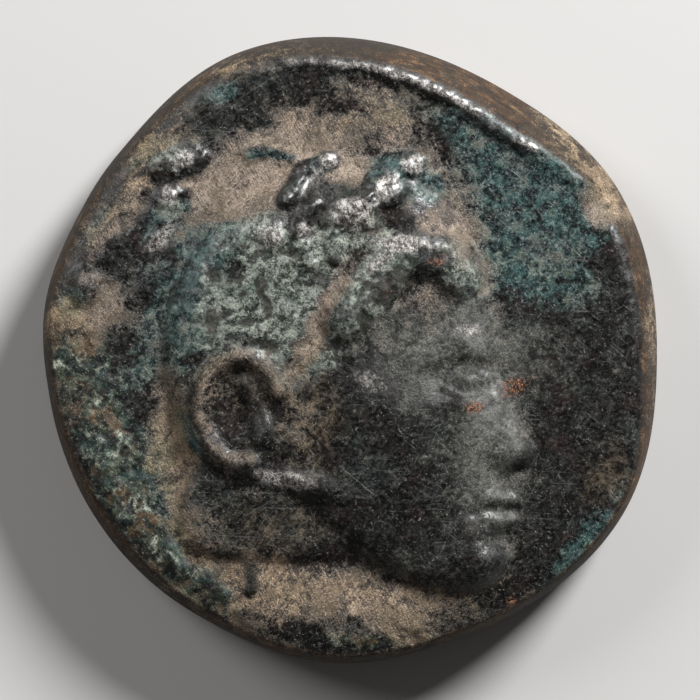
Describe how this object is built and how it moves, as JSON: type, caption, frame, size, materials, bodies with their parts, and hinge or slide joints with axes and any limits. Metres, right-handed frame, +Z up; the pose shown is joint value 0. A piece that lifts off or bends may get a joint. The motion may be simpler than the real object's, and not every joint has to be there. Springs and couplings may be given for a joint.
{
  "type": "ancient bronze coin",
  "caption": "Thick struck bronze coin with an uneven outline, a sloping edge, a worn head in profile on the upper side and a worn jar in a wreath on the side it rests on.",
  "frame": {"origin": "on the resting plane, under the middle of the coin's outline", "axes": "+Z up through the upper side, +Y towards the crown of the head, +X the way the head faces"},
  "size_m": [0.02, 0.0204, 0.004],
  "materials": {
    "patinated_bronze": "dark green-black patina, glossy on the worn highs, with matt tan earth in the hollows"
  },
  "bodies": {
    "root": {"coin": "patinated_bronze"}
  },
  "joints": []
}
